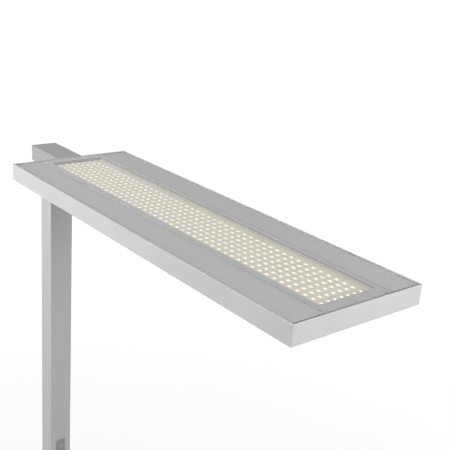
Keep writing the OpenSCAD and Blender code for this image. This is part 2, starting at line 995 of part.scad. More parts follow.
module top_plate() {
    color(plate_grey)
        at_head()
            difference() {
                cover_blank();
                translate([window_x, 0, -plate_drop - plate_t - over])
                    plain_block(window_l, window_w, plate_t + 2 * over);
                at_plate_screws()
                    csk_hole(m3_d, plate_t);
                at_sheet_screws()
                    translate([0, 0, -plate_t - sheet_t - over])
                        cylinder(h = plate_t + sheet_t + over, d = m3_d + 2 * clear_gap);
            }
}

module top_plate_screws() {
    color(steel)
        at_head()
            at_plate_screws()
                csk_screw(m3_d, plate_screw_l);
}

module window_sheet() {
    color(clear_sheet)
        at_head()
            difference() {
                translate([head_l / 2, 0, sheet_z])
                    round_block(sheet_l, sheet_w, sheet_t, sheet_r);
                at_sheet_screws()
                    csk_hole(m3_d, sheet_t);
            }
}

module window_screws() {
    color(steel)
        at_head()
            at_sheet_screws()
                csk_screw(m3_d, sheet_screw_l);
}

module bottom_plate() {
    color(plate_grey)
        at_head()
            turned_over()
                difference() {
                    cover_blank();
                    translate([head_l / 2, 0, -plate_drop - plate_t - over])
                        plain_block(diffuser_l, diffuser_w, plate_t + 2 * over);
                    at_plate_screws()
                        csk_hole(m3_d, plate_t);
                }
}

module bottom_plate_screws() {
    color(steel)
        at_head()
            turned_over()
                at_plate_screws()
                    csk_screw(m3_d, plate_screw_l);
}

module diffuser() {
    color(opal)
        at_head()
            translate([head_l / 2, 0, -bottom_inside])
                plain_block(diffuser_l + 2 * diffuser_lap, diffuser_w + 2 * diffuser_lap, diffuser_t);
}

// ---------------------------------------------------------------- light parts

// The folded tray under the window: floor, four walls and a lip against the top plate
module led_tray() {
    inner_l = window_l + 2 * tray_edge;
    inner_w = window_w + 2 * tray_edge;
    wall_h = tray_floor - ledge_top;
    color(plate_grey)
        at_head()
            translate([window_x, 0, -tray_floor - tray_t])
                difference() {
                    union() {
                        plain_block(inner_l + 2 * tray_t, inner_w + 2 * tray_t, wall_h + tray_t);
                        translate([0, 0, wall_h])
                            plain_block(inner_l + 2 * tray_lip, inner_w + 2 * tray_lip, tray_t);
                    }
                    translate([0, 0, tray_t])
                        plain_block(inner_l, inner_w, wall_h + over);
                }
}

module uplight_board() {
    inset = 2 * (board_edge - tray_edge);
    color(white_board)
        at_head()
            translate([window_x, 0, -tray_floor])
                plain_block(window_l - inset, window_w - inset, board_t);
}

module led() {
    translate([-led_size / 2, -led_size / 2, 0])
        cube([led_size, led_size, led_t]);
}

module uplight_leds() {
    color(led_glow)
        at_head()
            for (i = [0 : led_cols - 1], j = [0 : led_rows - 1])
                translate([led_x + (i - (led_cols - 1) / 2) * led_pitch_x,
                        (j - (led_rows - 1) / 2) * led_pitch_y, -board_top])
                    led();
}

// The white folded reflector: a flat top, sloped sides with lips on the diffuser, flat ends
module reflector() {
    t = reflector_t;
    low = -reflector_low;
    top = -reflector_top;
    out = diffuser_w / 2;
    flat = reflector_flat;
    lip = reflector_lip;
    l = diffuser_l;
    color(white_paint)
        at_head()
            translate([head_l / 2, 0, 0]) {
                rotate([90, 0, 90])
                    linear_extrude(l, center = true)
                        for (m = [0, 1])
                            mirror([m, 0])
                                polygon([[-eps, top], [flat, top], [out + t, low + t], [out + lip, low + t],
                                    [out + lip, low], [out, low], [flat - t, top - t], [-eps, top - t]]);
                for (s = [-1, 1])
                    translate([s * (l - t) / 2, 0, 0])
                        rotate([90, 0, 90])
                            linear_extrude(t, center = true)
                                polygon([[-flat, top - eps], [flat, top - eps], [out, low], [-out, low]]);
            }
}

// One narrow board with a row of LEDs facing down
module downlight_strip(i) {
    l = diffuser_l - 2 * strip_end;
    count = floor((l - strip_pitch) / strip_pitch) + 1;
    z = -reflector_top - reflector_t;
    color(white_board)
        at_head()
            translate([head_l / 2, (i - (strip_n + 1) / 2) * strip_spacing, z]) {
                translate([0, 0, -strip_t])
                    plain_block(l, strip_w, strip_t);
                for (k = [0 : count - 1])
                    translate([(k - (count - 1) / 2) * strip_pitch, 0, -strip_t - led_t + eps])
                        led();
            }
}

// A slim LED driver: extruded case with chamfered edges, mounting ears and end terminals
module driver(y) {
    c = driver_chamfer;
    w = driver_w;
    h = driver_h;
    color(white_paint)
        at_head()
            translate([driver_x, y, -bottom_inside])
                difference() {
                    union() {
                        translate([driver_ear, 0, 0])
                            rotate([90, 0, 90])
                                linear_extrude(driver_l - 2 * driver_ear)
                                    polygon([[-w / 2, 0], [w / 2, 0], [w / 2, h - c], [w / 2 - c, h],
                                        [-w / 2 + c, h], [-w / 2, h - c]]);
                        translate([driver_l / 2, 0, 0])
                            plain_block(driver_l, w - 2 * driver_ear_in, driver_ear_t);
                    }
                    for (x = [driver_ear / 2, driver_l - driver_ear / 2])
                        translate([x, 0, -1])
                            cylinder(h = driver_ear_t + 2 * over, d = m4_d + 2 * clear_gap);
                    for (x = [driver_ear, driver_l - driver_ear], k = [-1, 0, 1])
                        translate([x, k * driver_slot_pitch, h - driver_slot_down])
                            cube([2 * driver_slot, driver_slot, driver_slot], center = true);
                }
}

module head_terminal() {
    color(white_paint)
        at_head()
            translate([head_terminal_x + terminal_x / 2, -head_terminal_y, -bottom_inside])
                terminal_block(terminal_x, terminal_y, terminal_z);
}

module head_lead_front() {
    start = head_terminal_x + terminal_x;
    color(white_paint)
        at_head()
            translate([start, -driver_y, -lead_front_z])
                rotate([0, 90, 0])
                    run(lead_d, driver_x + driver_ear - start);
}

module head_lead_back() {
    start_y = -head_terminal_y + terminal_y / 2;
    end_y = driver_y - bay_run_bend;
    turn_x = lead_back_x + bay_run_bend;
    color(white_paint)
        at_head() {
            translate([lead_back_x, start_y, -lead_back_z])
                rotate([-90, 0, 0])
                    run(lead_d, end_y - start_y);
            translate([lead_back_x, end_y, -lead_back_z])
                rotate([-90, 0, 0])
                    bend(lead_d, bay_run_bend);
            translate([turn_x, driver_y, -lead_back_z])
                rotate([0, 90, 0])
                    run(lead_d, driver_x + driver_ear - turn_x);
        }
}

base_mat();
base_plate();
foot_screws();
pole_foot();
pole_foot_screws();
pole_tube();
cable_grommet();
pole_terminal();
pole_cable();
control_bezel();
dimmer_button();
button_switch();
control_board();
pole_top_plug();
pole_bolts();
neck_block();
head_bolts();
arm_cover();
arm_cover_screws();
arm_end_cap();
end_beam();
rim_front();
rim_back();
rim_left();
rim_right();
corner_cleat(1);  // corner_cleat_1
corner_cleat(2);  // corner_cleat_2
corner_cleat(3);  // corner_cleat_3
corner_cleat(4);  // corner_cleat_4
cleat_screws();
top_plate();
top_plate_screws();
window_sheet();
window_screws();
led_tray();
uplight_board();
uplight_leds();
reflector();
downlight_strip(1);  // downlight_strip_1
downlight_strip(2);  // downlight_strip_2
downlight_strip(3);  // downlight_strip_3
diffuser();
bottom_plate();
bottom_plate_screws();
driver(-driver_y);  // driver_up
driver(driver_y);  // driver_down
head_terminal();
head_lead_front();
head_lead_back();
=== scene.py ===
"""Looks, light and camera for an office floor lamp with a long flat LED head.

Everything is in metres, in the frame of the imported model: origin on the floor under the
pole, +X towards the head's free end, +Z up.
"""

import math

import bmesh
import bpy
from bpy.props import FloatProperty, FloatVectorProperty, IntProperty, PointerProperty
from bpy.types import Operator, Panel, PropertyGroup
from mathutils import Euler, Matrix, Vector


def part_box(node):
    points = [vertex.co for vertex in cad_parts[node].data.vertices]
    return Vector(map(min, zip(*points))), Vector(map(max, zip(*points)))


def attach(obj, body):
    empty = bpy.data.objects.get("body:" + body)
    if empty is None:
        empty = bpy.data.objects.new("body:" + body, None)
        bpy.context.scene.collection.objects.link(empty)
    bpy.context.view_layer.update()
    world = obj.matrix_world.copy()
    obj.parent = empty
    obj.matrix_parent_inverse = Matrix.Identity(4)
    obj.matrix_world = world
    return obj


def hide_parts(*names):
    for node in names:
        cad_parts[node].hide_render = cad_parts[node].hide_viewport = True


bl_info = {
    "name": "Office floor lamp",
    "version": (1, 0, 0),
    "blender": (4, 5, 0),
    "location": "3D View > Sidebar > Floor lamp",
    "description": "Finishes, light parts and studio of an office floor lamp",
    "category": "Object",
}

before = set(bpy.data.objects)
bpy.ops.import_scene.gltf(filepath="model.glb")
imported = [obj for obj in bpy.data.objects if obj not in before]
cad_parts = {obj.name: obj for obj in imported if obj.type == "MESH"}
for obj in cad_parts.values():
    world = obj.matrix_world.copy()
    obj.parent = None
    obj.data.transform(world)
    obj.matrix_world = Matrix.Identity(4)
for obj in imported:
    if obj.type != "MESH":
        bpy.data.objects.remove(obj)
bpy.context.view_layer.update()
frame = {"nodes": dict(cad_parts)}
NODES = frame["nodes"]
LAMP_BODY = "lamp"
MM = 0.001
LED_LOW, LED_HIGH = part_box("uplight_leds")
STRIPS = ("downlight_strip_1", "downlight_strip_2", "downlight_strip_3")
WHITE = (1.0, 1.0, 1.0, 1.0)
BLACK = (0.0, 0.0, 0.0, 1.0)
NOISE_ENDS = (0.3, 0.7)  # where most values of one noise lie
SUM_ENDS = (0.6, 1.4)  # and of two noises added up


# ---------------------------------------------------------------- colours and nodes


def hex_colour(code):
    """The linear red, green and blue of an sRGB hex code such as C9CACB."""
    shares = [int(code[i : i + 2], 16) / 255 for i in (0, 2, 4)]
    return [s / 12.92 if s <= 0.04045 else ((s + 0.055) / 1.055) ** 2.4 for s in shares]


def shade(colour, factor=1.0):
    """The colour made lighter or darker by a factor, with its alpha."""
    return (*[min(1.0, c * factor) for c in colour[:3]], 1.0)


def add_node(tree, kind, inputs=(), output=None, **settings):
    """Adds a node with its settings and links. Inputs come in order or by name, as values or
    as outputs of other nodes. Gives back the named output, or else the first in use."""
    node = tree.nodes.new("ShaderNode" + kind)
    for name, value in settings.items():
        setattr(node, name, value)
    if isinstance(inputs, dict):
        sockets = {s.name: s for s in node.inputs if s.enabled}
    else:
        sockets = node.inputs
        inputs = dict(enumerate(inputs))
    for key, value in inputs.items():
        if isinstance(value, bpy.types.NodeSocket):
            tree.links.new(value, sockets[key])
        else:
            sockets[key].default_value = value
    return next((s for s in node.outputs if s.enabled and output in (None, s.name)), None)


def new_material(name):
    """An empty material, its node tree, and the place on the surface in metres."""
    material = bpy.data.materials.new(name)
    material.use_nodes = True
    tree = material.node_tree
    tree.nodes.clear()
    return material, tree, add_node(tree, "TexCoord", output="Object")


def finished(material, surface):
    """The material, ended in one principled shader with these inputs."""
    tree = material.node_tree
    shader = add_node(tree, "BsdfPrincipled", surface)
    add_node(tree, "OutputMaterial", {"Surface": shader})
    return material


def blotches(place, size, detail=2.0, roughness=0.5):
    """Inputs for noise whose blotches are about size metres across."""
    return {"Vector": place, "Scale": 1 / size, "Detail": detail, "Roughness": roughness}


def crests(place, pitch, centre=0.0):
    """Inputs for waves with a crest at centre and one every pitch metres."""
    turns = 2 * math.pi / pitch
    return {"Vector": place, "Scale": turns / 20, "Phase Offset": math.pi - turns * centre}


def stretched(axis, share):
    """A scale of place that draws a pattern out along one axis."""
    return [share if a == axis else 1.0 for a in "XYZ"]


def between(tree, pattern, low, high, dark, light):
    """A colour that goes from dark to light as the pattern goes from low to high."""
    share = add_node(tree, "MapRange", (pattern, low, high, 0.0, 1.0))
    return add_node(tree, "Mix", {"Factor": share, "A": dark, "B": light}, data_type="RGBA")


def grid(tree, place, axes, pitches, centres=(0.0, 0.0)):
    """Waves along two axes, and their product, which is 1 where two crests cross."""
    waves = [
        add_node(tree, "TexWave", crests(place, pitch, centre), "Fac", bands_direction=axis)
        for axis, pitch, centre in zip(axes, pitches, centres)
    ]
    return *waves, add_node(tree, "Math", waves, operation="MULTIPLY")


def seen_rays(tree):
    """1 for camera, glossy and transmission rays, and 0 for those that carry light from
    one matt surface to the next, straight or through a clear sheet."""
    rays = add_node(tree, "LightPath").node.outputs
    bent = (rays["Is Glossy Ray"], rays["Is Transmission Ray"])
    mirrored = add_node(tree, "Math", bent, operation="MAXIMUM")
    seen = add_node(tree, "Math", (rays["Is Camera Ray"], mirrored), operation="MAXIMUM")
    unscattered = add_node(tree, "Math", (rays["Diffuse Depth"], 0.5), operation="LESS_THAN")
    return add_node(tree, "Math", (seen, unscattered), operation="MULTIPLY")


def cut_edge(tree):
    """1 on the edges of a flat sheet, and 0 on its faces."""
    normal = add_node(tree, "NewGeometry", output="Normal")
    upward = add_node(tree, "SeparateXYZ", (normal,), "Z")
    flatness = add_node(tree, "Math", (upward,), operation="ABSOLUTE")
    return add_node(tree, "Math", (flatness, 0.5), operation="LESS_THAN")


def inner_long_walls(tree, place):
    """1 on the walls along both sides of the tray, where they face its middle, else 0."""
    side = add_node(tree, "SeparateXYZ", (place,), "Y")
    normal = add_node(tree, "NewGeometry", output="Normal")
    sideward = add_node(tree, "SeparateXYZ", (normal,), "Y")
    outward = add_node(tree, "Math", (sideward, side), operation="MULTIPLY")
    # these walls stand about 70 mm off the middle, so a smaller distance tells them
    return add_node(tree, "Math", (outward, -30 * MM), operation="LESS_THAN")


# ---------------------------------------------------------------- finishes


def silver_powder_coat(name, colour, scuffs=0.0):
    """Fine silver powder coat, sprayed on aluminium and baked: flakes under a satin skin, a
    faint orange peel, and gloss that drifts a little along a face."""
    material, tree, place = new_material(name)
    # real flakes are 0.03 mm, too fine to show
    flakes = add_node(tree, "TexNoise", blotches(place, 0.35 * MM, detail=3.0, roughness=0.7))
    cloud = add_node(tree, "TexNoise", blotches(place, 90 * MM, detail=3.0))
    peel = add_node(tree, "TexNoise", blotches(place, 1.4 * MM))
    tone = add_node(tree, "Math", (flakes, cloud), operation="ADD")
    gloss = add_node(tree, "MapRange", (cloud, *NOISE_ENDS, 0.37, 0.47))
    if scuffs:
        along = add_node(tree, "Mapping", {"Vector": place, "Scale": stretched("X", 0.3)})
        marks = add_node(tree, "TexNoise", blotches(along, 9 * MM, detail=5.0, roughness=0.75))
        worn = add_node(tree, "MapRange", (marks, 0.55, 0.75, 0.0, scuffs))
        gloss = add_node(tree, "Math", (gloss, worn), operation="ADD")
    relief = {"Height": peel, "Distance": 0.006 * MM, "Strength": 0.6}
    surface = {
        "Base Color": between(tree, tone, *SUM_ENDS, shade(colour, 0.955), shade(colour, 1.03)),
        "Metallic": 0.25,
        "Roughness": gloss,
        "IOR": 1.5,
        "Normal": add_node(tree, "Bump", relief),
    }
    return finished(material, surface)


def matt_coil_coat(name, colour, painted_edge_shade=1.0, glow=None, spill=0.0):
    """Aluminium sheet coil-coated in matt silver grey: a dry, finely grained skin with
    hardly any gloss. Its cut edges are painted darker: a painted shade for the shadow in
    the gaps and recesses beside them. On the tray, the light that the LED packages spill
    on its long walls."""
    material, tree, place = new_material(name)
    grain = add_node(tree, "TexNoise", blotches(place, 0.6 * MM, detail=4.0, roughness=0.7))
    cloud = add_node(tree, "TexNoise", blotches(place, 60 * MM, detail=3.0))
    tone = add_node(tree, "Math", (grain, cloud), operation="ADD")
    coat = between(tree, tone, *SUM_ENDS, shade(colour, 0.95), shade(colour, 1.03))
    relief = {"Height": grain, "Distance": 0.01 * MM, "Strength": 0.5}
    surface = {
        # painted shade: the cut edges are darkened to stand for the shadow in the gaps beside them
        "Base Color": between(tree, cut_edge(tree), 0.0, 1.0, coat, shade(colour, painted_edge_shade)),
        "Metallic": 0.15,
        "Roughness": add_node(tree, "MapRange", (cloud, *NOISE_ENDS, 0.48, 0.6)),
        "IOR": 1.5,
        "Normal": add_node(tree, "Bump", relief),
    }
    if spill:
        lit = (inner_long_walls(tree, place), spill)
        surface["Emission Color"] = shade(glow)
        surface["Emission Strength"] = add_node(tree, "Math", lit, operation="MULTIPLY")
    return finished(material, surface)


def cast_acrylic(name, colour, edge_colour):
    """Clear acrylic, cast between glass and sawn: smooth as glass, with a trace of wiping
    marks along it, and matt where the saw went through."""
    material, tree, place = new_material(name)
    edge = cut_edge(tree)
    along = add_node(tree, "Mapping", {"Vector": place, "Scale": stretched("X", 0.2)})
    wipe = add_node(tree, "TexNoise", blotches(along, 12 * MM, detail=4.0, roughness=0.6))
    polish = add_node(tree, "MapRange", (wipe, *NOISE_ENDS, 0.015, 0.06))
    sawn = add_node(tree, "Math", (edge, 0.6), operation="MULTIPLY")
    surface = {
        "Base Color": between(tree, edge, 0.0, 1.0, shade(colour), shade(edge_colour)),
        "Roughness": add_node(tree, "Math", (sawn, polish), operation="MAXIMUM"),
        "IOR": 1.49,
        "Transmission Weight": add_node(tree, "MapRange", (edge, 0.0, 1.0, 1.0, 0.1)),
    }
    slant = add_node(tree, "LayerWeight", {"Blend": 0.5}, "Facing")
    mirrored = add_node(tree, "Math", (slant, 5.0), operation="POWER")
    passed_on = between(tree, mirrored, 0.0, 1.0, shade(colour), BLACK)
    clear = add_node(tree, "BsdfTransparent", {"Color": passed_on})
    shader = add_node(tree, "BsdfPrincipled", surface)
    rays = add_node(tree, "LightPath").node.outputs
    for kind in ("Is Shadow Ray", "Is Diffuse Ray"):
        shader = add_node(tree, "MixShader", (rays[kind], shader, clear))
    add_node(tree, "OutputMaterial", {"Surface": shader})
    return material


def prismatic_opal_acrylic(name, colour, glow, strength):
    """Opal acrylic, extruded and pressed with small pyramids against glare: milky, with a
    fine grid of points, and softly lit from behind."""
    material, tree, place = new_material(name)
    pitch = 3 * MM  # real pyramids are 1.5 mm, too fine to show
    points = grid(tree, place, "YX", (pitch, pitch))[-1]
    relief = {"Height": points, "Distance": 0.4 * MM, "Strength": 0.7}
    surface = {
        "Base Color": between(tree, points, 0.0, 1.0, shade(colour, 0.9), shade(colour)),
        "Roughness": add_node(tree, "MapRange", (points, 0.0, 1.0, 0.42, 0.3)),
        "IOR": 1.49,
        "Transmission Weight": 0.12,
        "Emission Color": shade(glow),
        "Emission Strength": strength,
        "Normal": add_node(tree, "Bump", relief),
    }
    return finished(material, surface)


def white_solder_mask(name, colour, glow, spill, pitches, centre_x, half_w):
    """White solder mask, printed over copper: a semi-gloss lacquer, raised over the tracks
    from package to package, with the light that the packages spill on it."""
    material, tree, place = new_material(name)
    pitch_x, pitch_y = pitches
    rows, _, crossings = grid(tree, place, "YX", (pitch_y, pitch_x), (0.0, centre_x))
    tracks = add_node(tree, "MapRange", (rows, 0.9, 0.97, 0.0, 1.0))
    mottle = add_node(tree, "TexNoise", blotches(place, 5 * MM, detail=3.0))
    tone = add_node(tree, "Math", (tracks, mottle), operation="ADD")
    halo = add_node(tree, "Math", (crossings, 2.0), operation="POWER")
    across = add_node(tree, "SeparateXYZ", (place,), "Y")
    off_middle = add_node(tree, "Math", (across,), operation="ABSOLUTE")
    near = add_node(tree, "Math", (off_middle, half_w), operation="LESS_THAN")
    lit = add_node(tree, "Math", (halo, near), operation="MULTIPLY")
    spread_out = 0.15 * spill  # what reaches the board between the halos
    relief = {"Height": tracks, "Distance": 0.035 * MM, "Strength": 1.0}
    surface = {
        "Base Color": between(tree, tone, 0.0, 5 / 3, shade(colour, 0.96), shade(colour, 1.03)),
        "Roughness": add_node(tree, "MapRange", (mottle, *NOISE_ENDS, 0.32, 0.44)),
        "IOR": 1.5,
        "Emission Color": shade(glow),
        "Emission Strength": add_node(tree, "MapRange", (lit, 0.0, 1.0, spread_out, spill)),
        "Normal": add_node(tree, "Bump", relief),
    }
    return finished(material, surface)


def phosphor_silicone(name, colour, strength):
    """Silicone with yellow phosphor, dispensed over the LED die and set in a dome: warm
    white and shining, brightest in its middle."""
    material, tree, place = new_material(name)
    grain = add_node(tree, "TexNoise", blotches(place, 0.5 * MM))
    surface = {
        "Base Color": between(tree, grain, *NOISE_ENDS, shade(colour, 0.93), shade(colour)),
        "Roughness": 0.3,
        "IOR": 1.41,
        "Emission Color": shade(colour),
        "Emission Strength": strength,
    }
    material.cycles.emission_sampling = "NONE"
    return finished(material, surface)


def moulded_plastic(name, colour, roughness, grain_size=0.4 * MM):
    """Plastic, injection-moulded or extruded: even colour with the fine spark-eroded grain
    of its tool."""
    material, tree, place = new_material(name)
    grain = add_node(tree, "TexNoise", blotches(place, grain_size, detail=3.0, roughness=0.6))
    cloud = add_node(tree, "TexNoise", blotches(place, 25 * MM))
    dull = (grain, *NOISE_ENDS, roughness - 0.06, roughness + 0.06)
    relief = {"Height": grain, "Distance": 0.01 * MM, "Strength": 0.5}
    surface = {
        "Base Color": between(tree, cloud, *NOISE_ENDS, shade(colour, 0.94), shade(colour, 1.04)),
        "Roughness": add_node(tree, "MapRange", dull),
        "IOR": 1.53,
        "Normal": add_node(tree, "Bump", relief),
    }
    return finished(material, surface)


def moulded_rubber(name, colour, pores):
    """Black rubber, moulded or foamed in sheets: dark, dry and matt, with pale bloom and the
    pits of its pores."""
    material, tree, place = new_material(name)
    grain = add_node(tree, "TexNoise", blotches(place, pores, detail=4.0, roughness=0.7))
    bloom = add_node(tree, "TexNoise", blotches(place, 18 * MM, detail=4.0, roughness=0.65))
    relief = {"Height": grain, "Distance": pores / 10, "Strength": 0.7}
    surface = {
        "Base Color": between(tree, bloom, 0.35, 0.75, shade(colour), shade(colour, 1.7)),
        "Roughness": add_node(tree, "MapRange", (grain, *NOISE_ENDS, 0.72, 0.9)),
        "IOR": 1.52,
        "Sheen Weight": 0.2,
        "Sheen Roughness": 0.6,
        "Normal": add_node(tree, "Bump", relief),
    }
    return finished(material, surface)


def mill_aluminium(name, colour, along):
    """Bare aluminium as it leaves the mill, extruded or rolled: bright metal with fine lines
    along its length."""
    material, tree, place = new_material(name)
    drawn = add_node(tree, "Mapping", {"Vector": place, "Scale": stretched(along, 0.01)})
    lines = add_node(tree, "TexNoise", blotches(drawn, 0.5 * MM, detail=4.0, roughness=0.7))
    relief = {"Height": lines, "Distance": 0.01 * MM, "Strength": 0.6}
    surface = {
        "Base Color": between(tree, lines, *NOISE_ENDS, shade(colour, 0.88), shade(colour)),
        "Metallic": 1.0,
        "Roughness": add_node(tree, "MapRange", (lines, *NOISE_ENDS, 0.28, 0.42)),
        "Normal": add_node(tree, "Bump", relief),
    }
    return finished(material, surface)


def zinc_plated_steel(name, colour):
    """Steel, turned and zinc-plated: bluish bright metal, clouded where the plating is
    thicker."""
    material, tree, place = new_material(name)
    cloud = add_node(tree, "TexNoise", blotches(place, 2.5 * MM, detail=3.0, roughness=0.6))
    grain = add_node(tree, "TexNoise", blotches(place, 0.3 * MM))
    relief = {"Height": grain, "Distance": 0.004 * MM, "Strength": 0.5}
    surface = {
        "Base Color": between(tree, cloud, *NOISE_ENDS, shade(colour, 0.8), shade(colour)),
        "Metallic": 1.0,
        "Roughness": add_node(tree, "MapRange", (cloud, *NOISE_ENDS, 0.25, 0.4)),
        "Normal": add_node(tree, "Bump", relief),
    }
    return finished(material, surface)


def tin_solder(name, colour):
    """Tin solder, reflowed: small bright fillets with a slightly frosted skin."""
    material, tree, place = new_material(name)
    frost = add_node(tree, "TexNoise", blotches(place, 0.2 * MM))
    surface = {
        "Base Color": between(tree, frost, *NOISE_ENDS, shade(colour, 0.9), shade(colour)),
        "Metallic": 1.0,
        "Roughness": add_node(tree, "MapRange", (frost, *NOISE_ENDS, 0.22, 0.38)),
    }
    return finished(material, surface)


def glass_epoxy(name, colour):
    """Glass-epoxy circuit board, pressed and lacquered green: glossy, with its glass weave
    showing through."""
    material, tree, place = new_material(name)
    thread = 1.2 * MM
    weave = grid(tree, place, "YZ", (thread, thread))[-1]
    relief = {"Height": weave, "Distance": 0.01 * MM, "Strength": 0.5}
    surface = {
        "Base Color": between(tree, weave, 0.0, 1.0, shade(colour, 0.85), shade(colour, 1.15)),
        "Roughness": add_node(tree, "MapRange", (weave, 0.0, 1.0, 0.22, 0.3)),
        "IOR": 1.55,
        "Normal": add_node(tree, "Bump", relief),
    }
    return finished(material, surface)


# ---------------------------------------------------------------- settings of the add-on


class LampSizes(PropertyGroup):
    """Sizes of the parts that are made here"""

    columns: IntProperty(
        name="LED columns",
        description="LED packages along the window",
        default=47,
        min=2,
    )
    rows: IntProperty(
        name="LED rows",
        description="LED packages across the window",
        default=7,
        min=2,
    )
    side: FloatProperty(
        name="LED side",
        description="Side of one LED package",
        default=3 * MM,
        unit="LENGTH",
    )
    lens: FloatProperty(
        name="LED lens",
        description="Diameter of the silicone in a package",
        default=2.6 * MM,
        unit="LENGTH",
    )
    strip_pitch: FloatProperty(
        name="Strip pitch",
        description="Distance between the packages of a strip",
        default=28 * MM,
        unit="LENGTH",
    )


class LampColours(PropertyGroup):
    """Colours of the finishes, as the eye meets them"""

    frame: FloatVectorProperty(
        name="Frame",
        description="Silver coat of the head's frame",
        subtype="COLOR",
        default=hex_colour("D9D9DA"),
    )
    pole: FloatVectorProperty(
        name="Pole",
        description="Silver coat of the pole and the base",
        subtype="COLOR",
        default=hex_colour("D2D2D3"),
    )
    arm: FloatVectorProperty(
        name="Arm",
        description="Silver coat of the arm",
        subtype="COLOR",
        default=hex_colour("B7B7B8"),
    )
    plates: FloatVectorProperty(
        name="Cover plates",
        description="Matt coat of the cover plates",
        subtype="COLOR",
        default=hex_colour("DADADB"),
    )
    # painted shade: this grey is darker than the tray's own coat, standing for the dim recess
    # under the clear sheet
    tray: FloatVectorProperty(
        name="Tray",
        description="Matt coat of the tray under the window",
        subtype="COLOR",
        default=hex_colour("8C8C8C"),
    )
    board: FloatVectorProperty(
        name="LED board",
        description="Solder mask of the LED boards",
        subtype="COLOR",
        default=hex_colour("F8F1DA"),
    )
    glow: FloatVectorProperty(
        name="LED light",
        description="Warm white of the LEDs",
        subtype="COLOR",
        default=hex_colour("FFFAE6"),
    )


class LampStudio(PropertyGroup):
    """Light and camera"""

    focal_length: FloatProperty(
        name="Focal length",
        description="Focal length in mm on a sensor 36 mm wide",
        default=65.14,
        min=10,
    )
    camera_place: FloatVectorProperty(
        name="Camera place",
        description="Where the camera stands",
        subtype="TRANSLATION",
        default=(1.77899, -0.93037, 2.47949),
    )
    camera_turn: FloatVectorProperty(
        name="Camera turn",
        description="Rotation of the camera",
        subtype="EULER",
        default=[math.radians(a) for a in (70.469, -4.104, 51.451)],
    )
    led_strength: FloatProperty(
        name="LED strength",
        description="How brightly the uplight's packages shine",
        default=3.5,
        min=0,
    )
    spill: FloatProperty(
        name="Spilled light",
        description="Light of the packages on their board",
        default=0.95,
        min=0,
    )
    wall_spill: FloatProperty(
        name="Light on the tray",
        description="Light of the packages on the tray's long walls",
        default=0.25,
        min=0,
    )
    direct_strength: FloatProperty(
        name="Direct LED strength",
        description="How brightly the packages over the diffuser shine",
        default=0.6,
        min=0,
    )
    direct_spill: FloatProperty(
        name="Light on the strips",
        description="Light of the packages over the diffuser on their boards",
        default=0.02,
        min=0,
    )
    diffuser_glow: FloatProperty(
        name="Diffuser light",
        description="How brightly the diffuser glows",
        default=0.16,
        min=0,
    )


# ---------------------------------------------------------------- light parts


HOUSING, DOME, SOLDER = range(3)
STANDING, HANGING = 1, -1


def square_ring(side, cut):
    """Sixteen points round a square with cut corners, anticlockwise."""
    h = side / 2
    edge = [(h, -h + cut), (h, -h / 3), (h, h / 3), (h, h - cut)]
    ring = list(edge)
    for _ in range(3):
        edge = [(-y, x) for x, y in edge]
        ring += edge
    return ring


def round_ring(ring, diameter):
    """The ring's points moved out or in onto a circle."""
    scales = [diameter / 2 / math.hypot(x, y) for x, y in ring]
    return [(x * s, y * s) for (x, y), s in zip(ring, scales)]


def led_package(side, height, lens):
    """Points, and faces with their finish, for one package on z = 0: a housing with a round
    cavity, a dome of silicone in it, and a solder fillet at each end."""
    outer = square_ring(side, 0.08 * side)
    shoulder = square_ring(0.94 * side, 0.08 * side)
    # each ring's outline, its height, and the finish of the faces above it
    rings = [
        (outer, 0.0, HOUSING),
        (outer, 0.72 * height, HOUSING),
        (shoulder, 0.8 * height, HOUSING),
        (round_ring(outer, lens), 0.8 * height, HOUSING),
        (round_ring(outer, 0.92 * lens), 0.62 * height, DOME),
        (round_ring(outer, 0.66 * lens), 0.88 * height, DOME),
        (round_ring(outer, 0.3 * lens), 0.98 * height, DOME),
    ]
    count = len(outer)
    points = [(x, y, z) for ring, z, _ in rings for x, y in ring]
    faces = [(tuple(range(count))[::-1], HOUSING)]
    for level, (_, _, finish) in enumerate(rings[:-1]):
        start = level * count
        for k in range(count):
            n = (k + 1) % count
            faces.append(((start + k, start + n, start + count + n, start + count + k), finish))
    last = (len(rings) - 1) * count
    faces += [((last + k, last + (k + 1) % count, len(points)), DOME) for k in range(count)]
    points.append((0.0, 0.0, height))
    for end in (-1, 1):
        first = len(points)
        for y in (-0.36 * side * end, 0.36 * side * end):
            points += [
                (0.48 * side * end, y, 0.0),
                (0.6 * side * end, y, 0.0),
                (0.48 * side * end, y, 0.35 * height),
            ]
        fillet = [(4, 3, 0, 1), (5, 4, 1, 2), (3, 5, 2, 0), (0, 2, 1), (3, 4, 5)]
        faces += [(tuple(first + i for i in face), SOLDER) for face in fillet]
    return points, faces


def add_piece(name, mesh):
    """Puts a mesh in the scene and lets it move with the lamp."""
    piece = bpy.data.objects.new(name, mesh)
    bpy.context.scene.collection.objects.link(piece)
    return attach(piece, LAMP_BODY)


def led_piece(name, places, base, way, height, finishes):
    """One object with an LED package at each place, standing or hanging."""
    sizes = bpy.context.scene.lamp_sizes
    shape, faces = led_package(sizes.side, height, sizes.lens)
    points = []
    polygons = []
    kinds = []
    for x, y in places:
        first = len(points)
        points += [(x + a, y + b, base + way * c) for a, b, c in shape]
        for face, kind in faces:
            polygons.append([first + i for i in face[::way]])
            kinds.append(kind)
    mesh = bpy.data.meshes.new(name)
    mesh.from_pydata(points, [], polygons)
    for material in finishes:
        mesh.materials.append(material)
    mesh.polygons.foreach_set("material_index", kinds)
    mesh.polygons.foreach_set("use_smooth", [kind == DOME for kind in kinds])
    mesh.update()
    return add_piece(name, mesh)


